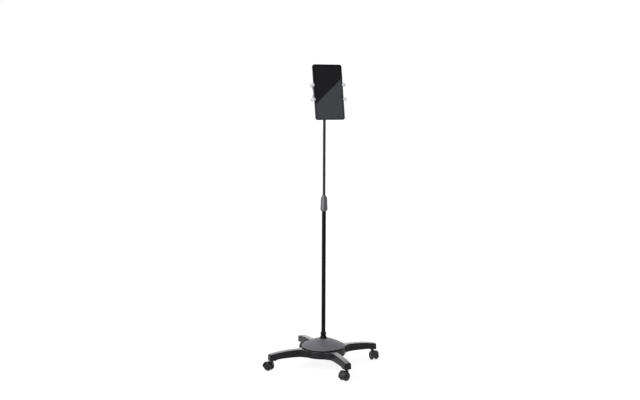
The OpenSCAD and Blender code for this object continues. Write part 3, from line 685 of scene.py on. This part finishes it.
# Polished black ABS: nearly black, with a thin hard shine.
socket_black = moulded("polished_abs_black", "#08080a", "#0c0c0e", 0.12, 3.0, 0.02, 0.09)
foot = turned(rounded([
    (BOLT_HOLE_R, POST_FOOT_Z, 0.5), (POST_FOOT_R, POST_FOOT_Z, 0.8), (POST_FOOT_R, SEAT_Z, 0),
    (FLANGE_R, SEAT_Z, 0.6), (FLANGE_R, SEAT_Z + FLANGE_H, 1.8), (WAIST_R, SEAT_Z + WAIST_LOW, 5.0),
    (WAIST_R, SEAT_Z + WAIST_HIGH, 5.0), (BEAD_R, SEAT_Z + BEAD_LOW, 2.0), (BEAD_R, SEAT_Z + FOOT_H, 3.6),
    (TUBE_R + TUBE_FIT, SEAT_Z + FOOT_H, 0.2), (TUBE_R + TUBE_FIT, TUBE_Z, 0), (BOLT_HOLE_R, TUBE_Z, 0)],
    step=10), steps=96)
piece("mast_foot", *foot, "base", "socket_black", socket_black, ["mast_socket"])
dress("mast_bolt", plated_steel, 0.4)
dress("mast_washer", plated_steel, 0.3)


# Lower mast
# The outer tube: welded steel, powder-coated black. Its lower end is pushed into the foot, and
# its square-cut upper end stands inside the collar.
TUBE_TOP, TUBE_WALL = 782.0, 1.2
PEEL_SIZE, PEEL_BUMP = 3.0, 0.01


def coated(name, colour, shade, roughness, specular):
    """A coated tube: black, with the faint orange-peel of a cured coat along its length."""
    return moulded(name, colour, shade, roughness, PEEL_SIZE, PEEL_BUMP, specular)


# Powder coat: a dull, deep black that hardly mirrors.
black_steel = coated("powder_coated_steel_black", "#060607", "#0a0a0b", 0.6, 0.1)
tube = turned(rounded([(TUBE_R - TUBE_WALL, TUBE_Z, 0.2), (TUBE_R, TUBE_Z, 0.3), (TUBE_R, TUBE_TOP, 0.3),
                       (TUBE_R - TUBE_WALL, TUBE_TOP, 0.2)]), steps=64)
piece("lower_tube", *tube, "base", "black_steel", black_steel, ["outer_tube"])


# Twist lock
# A threaded ferrule on the tube's end and a split nylon cone, both inside; outside, the
# ten-sided grey collar that squeezes the cone onto the inner tube.
COLLAR_Z, COLLAR_R, CHAMFER_H, STRAIGHT_H, CONE_H = 734.0, 17.6, 8.5, 53.0, 14.5
SIDES, COLLAR_TURN, SIDE_EDGE, EDGE_STEPS = 10, -6.0, 1.2, 4
COLLAR_FOOT_R, COLLAR_NECK_R, COLLAR_TOP_R, COLLAR_BORE, COLLAR_INNER = 11.725, 15.2, 8.35, 9.825, 6.7
FERRULE_R, FERRULE_TOP, FERRULE_FIT, THREAD_FIT = 12.475, 785.3, 0.2, 0.05
SLEEVE_H, THROAT_Z = 9.5, 802.0

# Natural nylon, off-white and waxy.
white_nylon = moulded("natural_nylon", "#dcd9cf", "#e6e3da", 0.45, 2.0, 0.1, 0.5)
# Dark moulded nylon, satin.
black_nylon = moulded("moulded_nylon_black", "#29292b", "#313134", 0.42, 1.8, 0.2, 0.5)
# Grey nylon with a smooth, hard sheen: each flat of the collar takes its own tone.
collar_grey = moulded("moulded_nylon_grey", "#3b3c40", "#424347", 0.24, 2.4, 0.04, 0.45)

dress("collar_ferrule", black_nylon)
dress("collet", white_nylon)


def faceted(radius, z):
    """A ring of the many-sided collar, with its corners rounded."""
    ring = []
    reach = radius - SIDE_EDGE / math.cos(math.pi / SIDES)
    for k in range(SIDES):
        a = 2 * math.pi * k / SIDES + math.radians(COLLAR_TURN)
        cx, cy = reach * math.cos(a), reach * math.sin(a)
        for j in range(EDGE_STEPS + 1):
            b = a - math.pi / SIDES + 2 * math.pi / SIDES * j / EDGE_STEPS
            ring.append((cx + SIDE_EDGE * math.cos(b), cy + SIDE_EDGE * math.sin(b), z))
    return ring


neck_z = COLLAR_Z + CHAMFER_H + STRAIGHT_H
outline = rounded([(COLLAR_FOOT_R, COLLAR_Z, 0.4), (COLLAR_R, COLLAR_Z + CHAMFER_H, 1.5),
                   (COLLAR_NECK_R, neck_z, 3.0), (COLLAR_TOP_R, neck_z + CONE_H, 0.4),
                   (COLLAR_INNER, neck_z + CONE_H, 0), (COLLAR_INNER, THROAT_Z, 0),
                   (FERRULE_R + FERRULE_FIT, FERRULE_TOP, 0),
                   (FERRULE_R + THREAD_FIT, COLLAR_Z + SLEEVE_H, 0),
                   (COLLAR_BORE, COLLAR_Z + SLEEVE_H, 0), (COLLAR_BORE, COLLAR_Z, 0.3)], step=20)
first_bore = outline.index((COLLAR_INNER, neck_z + CONE_H))
rings = [faceted(r, z) for r, z in outline[:first_bore]]
angles = [math.atan2(y, x) for x, y, z in rings[0]]
rings += [[(r * math.cos(a), r * math.sin(a), z) for a in angles] for r, z in outline[first_bore:]]
piece("twist_collar", *skin(rings, ends=False, loop=True), "lock_collar", "collar_grey", collar_grey,
      ["lock_collar"], sharp=22)


# Upper mast
# The inner steel tube, painted a glossier black, with a nylon glide on its lower end and a
# plug in its upper end that carries the head's spigot.
INNER_R, INNER_WALL, INNER_Z, INNER_TOP = 6.35, 1.0, 468.0, 1248.0

# Gloss paint on steel: black, with a soft light line down its side.
inner_steel = coated("gloss_painted_steel_black", "#0d0d0e", "#121213", 0.42, 0.3)
tube = turned(rounded([(INNER_R - INNER_WALL, INNER_Z, 0.2), (INNER_R, INNER_Z, 0.3),
                       (INNER_R, INNER_TOP, 0.2), (INNER_R - INNER_WALL, INNER_TOP, 0.2)]), steps=56)
piece("upper_tube", *tube, "upper_mast", "black_steel", inner_steel, ["inner_tube"])
dress("glide_bush", white_nylon, 0.3)
dress("tube_plug", black_nylon, 0.4)


# Tilt head
# Behind the screen: a die-cast fork that swivels on the plug, a bolt with a scalloped knob,
# nylon friction washers, and the lug whose spindle carries the holder.
PIVOT_Z, LEAN = 1278.0, 10.0
KNOB_X, KNOB_L, KNOB_R, KNOB_EDGE, KNOB_STEPS = 13.3, 17.0, 14.0, 1.8, 160
NECK_R, NECK_L, NECK_EDGE = 8.7, 5.0, 0.6
SCALLOPS, SCALLOP_R, SCALLOP_OFF = 8, 3.4, 1.2
BOLT_R, BOLT_FIT, KNOB_WALL = 3.0, 0.05, 4.0
CAP_DISH_R, CAP_DISH, CAP_DISH_SIDE = 7.5, 0.9, 0.9

# Die-cast zinc under black powder coat: a dark, slightly pebbled satin.
head_black = moulded("powder_coated_casting_black", "#1d1d1f", "#252528", 0.4, 1.6, 0.3, 0.45)

dress("swivel_fork", head_black, 0.8)
dress("swivel_screw", plated_steel, 0.4)
dress("tilt_bolt", plated_steel, 0.4)
dress("tilt_washers", white_nylon, 0.2)
dress("tilt_lug", head_black, 0.8)
dress("spindle_screw", plated_steel, 0.3)


def knob_reach(a):
    """How far the knob's scalloped outline lies from its axis at an angle."""
    reach, far = KNOB_R, KNOB_R + SCALLOP_OFF
    for n in range(SCALLOPS):
        off = a - 2 * math.pi * n / SCALLOPS
        across = far * math.sin(off)
        if abs(across) < SCALLOP_R and math.cos(off) > 0:
            reach = min(reach, far * math.cos(off) - math.sqrt(SCALLOP_R ** 2 - across ** 2))
    return reach


def knob_ring(x, reach):
    """A ring of the knob at x, as far from its axis as reach gives for each angle."""
    turns = [2 * math.pi * k / KNOB_STEPS for k in range(KNOB_STEPS)]
    return [(x, reach(a) * math.cos(a), PIVOT_Z + reach(a) * math.sin(a)) for a in turns]


knob_end = KNOB_X + KNOB_L
rings = [knob_ring(x, lambda a: r) for x, r in (
    (knob_end - KNOB_WALL, 0.0), (knob_end - KNOB_WALL, BOLT_R + BOLT_FIT), (KNOB_X, BOLT_R + BOLT_FIT),
    (KNOB_X, NECK_R - NECK_EDGE), (KNOB_X + NECK_EDGE, NECK_R), (KNOB_X + NECK_L, NECK_R))]
for x, inward, steps in ((KNOB_X + NECK_L, 1, (90, 60, 30, 0)), (knob_end, -1, (0, 30, 60, 90))):
    for e in map(math.radians, steps):
        rings.append(knob_ring(x + inward * KNOB_EDGE * (1 - math.sin(e)),
                               lambda a: knob_reach(a) - KNOB_EDGE * (1 - math.cos(e))))
rings += [knob_ring(x, lambda a: r) for x, r in (
    (knob_end, CAP_DISH_R), (knob_end - CAP_DISH, CAP_DISH_R - CAP_DISH_SIDE), (knob_end - CAP_DISH, 0.0))]
piece("clamp_knob", *skin(rings, ends=False), "tilt_knob", "black_nylon", black_nylon,
      ["tilt_knob"], sharp=45)


# Holder
# A two-part ABS housing on the spindle: a tray with a channel and a spring for each jaw, a
# cover held by four screws, and ribbed rubber pads for the tablet's back.
COIL_R, WIRE_R, SPRING_TURNS, TURN_STEPS, WIRE_SIDES = 3.0, 0.5, 16, 24, 8
SPRING_IN, SPRING_OUT, SPRING_U, SPRING_N, JAW_TRAVEL = -28.5, 39.2, -16.5, 24.4, 35.0
SCREW_X, SCREW_U, SCREW_TIP, SCREW_SEAT, SCREW_R = 30.0, 5.0, 23.0, 34.6, 1.5
HEAD_R, HEAD_T, DRIVE_R, DRIVE_FOOT_R, DRIVE_FLOOR = 3.0, 1.6, 1.3, 1.1, 0.7


def at_face(points, turned_round=False):
    """Points measured from the tilt pivot across, up and out of the screen, put in place."""
    c, s = math.cos(math.radians(LEAN)), math.sin(math.radians(LEAN))
    flip = -1 if turned_round else 1
    return [(flip * x, flip * u * s - n * c, PIVOT_Z + flip * u * c + n * s) for x, u, n in points]


# ABS, finely textured black: a soft satin.
holder_black = moulded("abs_black_fine_texture", "#1f1f21", "#27272a", 0.42, 1.6, 0.25, 0.5)
# Nitrile rubber: dull, a little dusty.
pad_rubber = moulded("nitrile_rubber_black", "#2b2b2d", "#353538", 0.72, 1.2, 0.3, 0.3)
# Drawn spring wire: bright grey.
spring_steel = metal("drawn_spring_steel", "#8d8e93", "#7c7d82", 0.3)

dress("holder_tray", holder_black, 0.8)
dress("holder_cover", holder_black, 0.6)
dress("holder_pads", pad_rubber, 0.8)

# A coil spring wound along its own axis.
coil_tree, given, coil_ids = new_tree("wound_spring", {
    "Turns": "NodeSocketFloat", "Coil radius": "NodeSocketFloat", "Wire radius": "NodeSocketFloat",
    "Length": "NodeSocketFloat", "Steps": "NodeSocketInt", "Material": "NodeSocketMaterial"})
wind = add(coil_tree, "GeometryNodeCurveSpiral", None,
           {"Resolution": given.outputs["Steps"], "Rotations": given.outputs["Turns"],
            "Start Radius": given.outputs["Coil radius"], "End Radius": given.outputs["Coil radius"],
            "Height": given.outputs["Length"]})
wire = add(coil_tree, "GeometryNodeCurvePrimitiveCircle", None,
           {"Resolution": WIRE_SIDES, "Radius": given.outputs["Wire radius"]})
drawn = add(coil_tree, "GeometryNodeCurveToMesh", None,
            {"Curve": wind.outputs[0], "Profile Curve": wire.outputs[0], "Fill Caps": True})
end_tree(coil_tree, drawn.outputs[0], given.outputs["Material"])
spring_l = SPRING_OUT - SPRING_IN
coil, coil_faces = mesh_parts(grow("spring", coil_tree, coil_ids, {
    "Turns": float(SPRING_TURNS), "Coil radius": COIL_R * MM, "Wire radius": WIRE_R * MM,
    "Length": spring_l * MM, "Steps": TURN_STEPS, "Material": spring_steel}))
coil = [(SPRING_IN + z, SPRING_U + y, SPRING_N - x) for x, y, z in coil]
for name, flip in (("right", False), ("left", True)):
    made = piece("coil_spring_" + name, at_face(coil, flip), coil_faces, "holder", "spring_steel",
                 spring_steel, ["spring_" + name])
    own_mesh(made)

# Four button-headed screws in a rectangle.
screw_tree, given, screw_ids = new_tree("cover_screws", {
    "Across": "NodeSocketFloat", "Up": "NodeSocketFloat", "Material": "NodeSocketMaterial"})
spots = add(screw_tree, "GeometryNodeMeshGrid", None,
            {"Size X": given.outputs["Across"], "Size Y": given.outputs["Up"],
             "Vertices X": 2, "Vertices Y": 2})
placed = add(screw_tree, "GeometryNodeInstanceOnPoints", None,
             {"Points": spots.outputs[0], "Instance": given.outputs["Geometry"]})
end_tree(screw_tree, placed.outputs[0], given.outputs["Material"])
screw = turned(rounded([(0, SCREW_TIP, 0), (SCREW_R, SCREW_TIP, 0.4), (SCREW_R, SCREW_SEAT, 0),
                        (HEAD_R, SCREW_SEAT, 0.3), (HEAD_R, SCREW_SEAT + HEAD_T, 0.6),
                        (DRIVE_R, SCREW_SEAT + HEAD_T, 0.2), (DRIVE_FOOT_R, SCREW_SEAT + DRIVE_FLOOR, 0.1),
                        (0, SCREW_SEAT + DRIVE_FLOOR, 0)], closed=False), closed=False, steps=24)
screws = grow("cover_screws", screw_tree, screw_ids, {
    "Across": 2 * SCREW_X * MM, "Up": 2 * SCREW_U * MM, "Material": plated_steel}, screw)
points, faces = mesh_parts(screws)
piece("cover_screws", at_face(points), faces, "holder", "plated_steel", plated_steel, ["holder_screws"])


# Jaws
# Two steel brackets lacquered satin silver: a tongue that slides in the housing, and a bow
# that carries a grip on each end.

# Satin silver lacquer: pale and even, bright towards the light and grey on its far side.
satin_silver = moulded("satin_silver_lacquer", "#d0d0d4", "#c6c6cb", 0.34, 2.0, 0.05, 0.5)
for name in ("left", "right"):
    dress("jaw_" + name, satin_silver, 0.5)


# Grips
# On each jaw two studs with domed, lacquered caps that lap the screen's edge, each in a pale
# rubber sleeve that bears on the tablet's side.
GRIP_X, GRIP_U, TONGUE_N, CAP_N = 77.1, 33.0, 28.8, 50.0
STUD_R, CAP_R, CAP_T, CAP_SIDE, CAP_ROUND, CAP_DROP = 2.5, 8.0, 4.6, 1.9, 4.6, 0.5
SLEEVE_R, SLEEVE_N, STUD_FIT = 4.3, TONGUE_N + 4.0, 0.02
GROOVE, GROOVE_N, GROOVE_W, GROOVE_SIDE = 0.35, SLEEVE_N + 5.0, 2.8, 0.6

# Silicone rubber: pale grey, soft and dull.
sleeve_rubber = moulded("silicone_rubber_pale_grey", "#b4b4b8", "#bfbfc3", 0.55, 1.5, 0.1, 0.4)

cap_line = rounded([
    (0, TONGUE_N, 0), (STUD_R, TONGUE_N, 0.3), (STUD_R, CAP_N, 0), (CAP_R, CAP_N, 0.6),
    (CAP_R, CAP_N + CAP_SIDE, 1.0), (CAP_ROUND, CAP_N + CAP_T - CAP_DROP, 4.5), (0, CAP_N + CAP_T, 0)],
    closed=False, step=10)
cap_form = turned(cap_line, closed=False, steps=64)
sleeve_line = rounded([
    (STUD_R + STUD_FIT, SLEEVE_N, 0.2), (SLEEVE_R, SLEEVE_N, 0.5), (SLEEVE_R, GROOVE_N, 0.4),
    (SLEEVE_R - GROOVE, GROOVE_N + GROOVE_SIDE, 0.4),
    (SLEEVE_R - GROOVE, GROOVE_N + GROOVE_W - GROOVE_SIDE, 0.3), (SLEEVE_R, GROOVE_N + GROOVE_W, 0.3),
    (SLEEVE_R, CAP_N, 0.5), (STUD_R + STUD_FIT, CAP_N, 0.2)], step=30)
sleeve_form = turned(sleeve_line, steps=48)
for name, flip in (("right", False), ("left", True)):
    for label, form, material, slot, node in (
            ("grip_caps", cap_form, satin_silver, "satin_silver", "grip_posts_"),
            ("grip_sleeves_soft", sleeve_form, sleeve_rubber, "sleeve_rubber", "grip_sleeves_")):
        two = join(*[([(GRIP_X + x, up * GRIP_U + y, z) for x, y, z in form[0]], form[1]) for up in (1, -1)])
        piece(f"{label}_{name}", at_face(two[0], flip), two[1], "jaw_" + name, slot, material, [node + name])


# Tablet
# A plain removable tablet: a black case with rounded edges and a flush cover glass with a
# dark border. The display is dark; below a slant line a painted reflection of the surround
# makes the glass a paler grey, border and all.
TAB_W, TAB_L, TAB_T, TAB_R, TAB_CORNER_STEPS, BACK_N = 145.0, 254.0, 9.0, 10.0, 8, 40.0
LIP, GLASS_T, GLASS_FIT = 1.6, 1.0, 0.05
CASE_EDGE, FRONT_EDGE, FRONT_N = 2.6, 0.8, BACK_N + TAB_T
# The slant line that bounds the painted reflection on the glass: its half-width and its heights at either
# side.
SLANT_X, SLANT_LOW, SLANT_HIGH = 72.5, -59.7, 66.3
BORDER_SIDE, BORDER_TOP, BORDER_FOOT = 10.0, 10.5, 8.5
SLANT_SOFT, BORDER_SOFT, HAZE_SIZE = 0.6, 0.4, 60.0


def tablet_ring(inset, n):
    """The tablet's round-cornered outline, inset, at a distance n out of the pivot's plane."""
    ring, radius = [], TAB_R - inset
    for k, (sx, sy) in enumerate(((1, 1), (-1, 1), (-1, -1), (1, -1))):
        for j in range(TAB_CORNER_STEPS + 1):
            a = math.pi / 2 * (k + j / TAB_CORNER_STEPS)
            ring.append((sx * (TAB_W / 2 - TAB_R) + radius * math.cos(a),
                         sy * (TAB_L / 2 - TAB_R) + radius * math.sin(a), n))
    return ring


# Soft-touch polycarbonate: a dry, even black.
tablet_black = moulded("soft_touch_polycarbonate_black", "#101012", "#161619", 0.4, 1.4, 0.12, 0.35)
rings = []
for a in map(math.radians, (90, 67, 45, 22, 0)):
    rings.append(tablet_ring(CASE_EDGE * (1 - math.cos(a)), BACK_N + CASE_EDGE * (1 - math.sin(a))))
for a in map(math.radians, (0, 45, 90)):
    rings.append(tablet_ring(FRONT_EDGE * (1 - math.cos(a)), FRONT_N - FRONT_EDGE * (1 - math.sin(a))))
rings += [tablet_ring(LIP, FRONT_N), tablet_ring(LIP, FRONT_N - GLASS_T)]
points, faces = skin(rings)
piece("tablet_case", at_face(points), faces, "tablet", "tablet_black", tablet_black, ["tablet_shell"])

# Cover glass with an anti-reflective coat over a lit-off display, deep black, and a darker
# printed border. Below the slant the glass carries a painted reflection of the surround: the
# display is painted slate grey there and the border a lighter shade of its black.
glass, tree = new_material("cover_glass_and_painted_reflection")
where = add(tree, "ShaderNodeTexCoord").outputs["Object"]
face = add(tree, "ShaderNodeMapping", {"vector_type": "TEXTURE"},
           {"Vector": where, "Location": (0, 0, PIVOT_Z * MM),
            "Rotation": (math.radians(90 - LEAN), 0, 0), "Scale": (MM, MM, MM)})
axes = add(tree, "ShaderNodeSeparateXYZ", None, {0: face.outputs[0]})
slope = (SLANT_HIGH - SLANT_LOW) / (2 * SLANT_X)
line_u = add(tree, "ShaderNodeMath", {"operation": "MULTIPLY_ADD"},
             {0: axes.outputs[0], 1: slope, 2: (SLANT_HIGH + SLANT_LOW) / 2})
above = add(tree, "ShaderNodeMath", {"operation": "SUBTRACT"}, {0: axes.outputs[1], 1: line_u.outputs[0]})
# 1 below the slant, where the reflection is painted, and 0 above it.
lower = add(tree, "ShaderNodeMapRange", None,
            {0: above.outputs[0], 1: -SLANT_SOFT, 2: SLANT_SOFT, 3: 1.0, 4: 0.0})
out_x = add(tree, "ShaderNodeMath", {"operation": "ABSOLUTE"}, {0: axes.outputs[0]})
side_in = add(tree, "ShaderNodeMath", {"operation": "SUBTRACT"},
              {0: TAB_W / 2 - BORDER_SIDE, 1: out_x.outputs[0]})
top_in = add(tree, "ShaderNodeMath", {"operation": "SUBTRACT"},
             {0: TAB_L / 2 - BORDER_TOP, 1: axes.outputs[1]})
foot_in = add(tree, "ShaderNodeMath", {"operation": "ADD"},
              {0: TAB_L / 2 - BORDER_FOOT, 1: axes.outputs[1]})
least = add(tree, "ShaderNodeMath", {"operation": "MINIMUM"}, {0: top_in.outputs[0], 1: foot_in.outputs[0]})
least = add(tree, "ShaderNodeMath", {"operation": "MINIMUM"}, {0: least.outputs[0], 1: side_in.outputs[0]})
inside = add(tree, "ShaderNodeMapRange", None,
             {0: least.outputs[0], 1: -BORDER_SOFT, 2: BORDER_SOFT, 3: 0.0, 4: 1.0})
haze = add(tree, "ShaderNodeTexNoise", None, {"Vector": where, "Scale": per_mm(HAZE_SIZE), "Detail": 2.0})
dark = add(tree, "ShaderNodeMix", {"data_type": "RGBA"},
           {0: haze.outputs[0], 6: linear("#0c0c0f"), 7: linear("#131317")})
# Slate grey: the display under the painted reflection.
pale = add(tree, "ShaderNodeMix", {"data_type": "RGBA"},
           {0: haze.outputs[0], 6: linear("#3b3c40"), 7: linear("#414246")})
display_and_reflection = add(tree, "ShaderNodeMix", {"data_type": "RGBA"},
              {0: lower.outputs[0], 6: dark.outputs[2], 7: pale.outputs[2]})
# The printed border: near black, and lighter under the painted reflection.
border_and_reflection = add(tree, "ShaderNodeMix", {"data_type": "RGBA"},
             {0: lower.outputs[0], 6: linear("#020203"), 7: linear("#303134")})
shown = add(tree, "ShaderNodeMix", {"data_type": "RGBA"},
            {0: inside.outputs[0], 6: border_and_reflection.outputs[2], 7: display_and_reflection.outputs[2]})
smear = add(tree, "ShaderNodeMapRange", None,
            {0: haze.outputs[0], 1: NOISE_LOW, 2: NOISE_HIGH, 3: 0.08, 4: 0.14})
sheet = add(tree, "ShaderNodeBsdfPrincipled", None,
            {"Base Color": shown.outputs[2], "Roughness": smear.outputs[0], "IOR": 1.5,
             "Specular IOR Level": 0.12})
add(tree, "ShaderNodeOutputMaterial", None, {"Surface": sheet.outputs[0]})

# The glass's edge is ground round: each ring has its inset and its depth below the front.
points, faces = skin([tablet_ring(LIP + GLASS_FIT + inset, FRONT_N - depth) for inset, depth in
                      ((0, GLASS_T), (0, 0.25), (0.1, 0.07), (0.25, 0))])
piece("tablet_cover_glass", at_face(points), faces, "tablet", "tablet_glass", glass, ["tablet_glass"])
